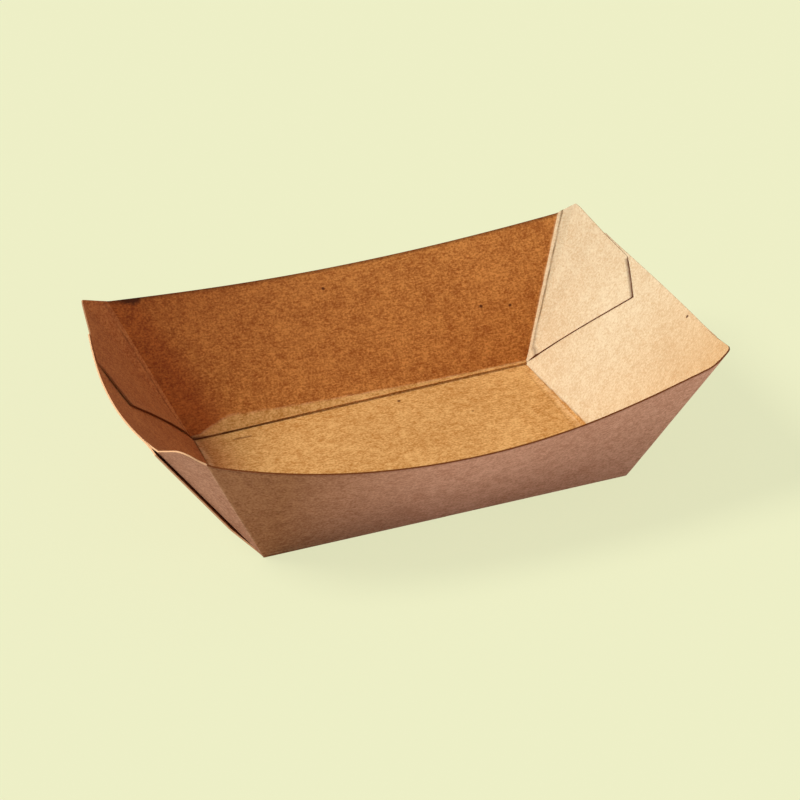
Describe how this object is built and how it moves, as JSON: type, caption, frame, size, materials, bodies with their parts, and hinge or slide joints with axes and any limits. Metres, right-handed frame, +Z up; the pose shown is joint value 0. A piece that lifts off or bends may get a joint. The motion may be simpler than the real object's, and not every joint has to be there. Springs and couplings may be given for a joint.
{
  "type": "paper food tray",
  "caption": "Shallow open tray folded from one sheet of kraft board, with sloping walls, curved rims, raised corners and glued corner flaps.",
  "frame": {"origin": "middle of the underside of the floor", "axes": "+X along the tray, +Y across it, +Z up; the tray rests on its floor on the plane Z = 0"},
  "size_m": [0.1706, 0.1286, 0.0449],
  "materials": {
    "kraft_board": "uncoated, matt"
  },
  "bodies": {
    "root": {"folded_tray": "kraft_board"}
  },
  "joints": []
}
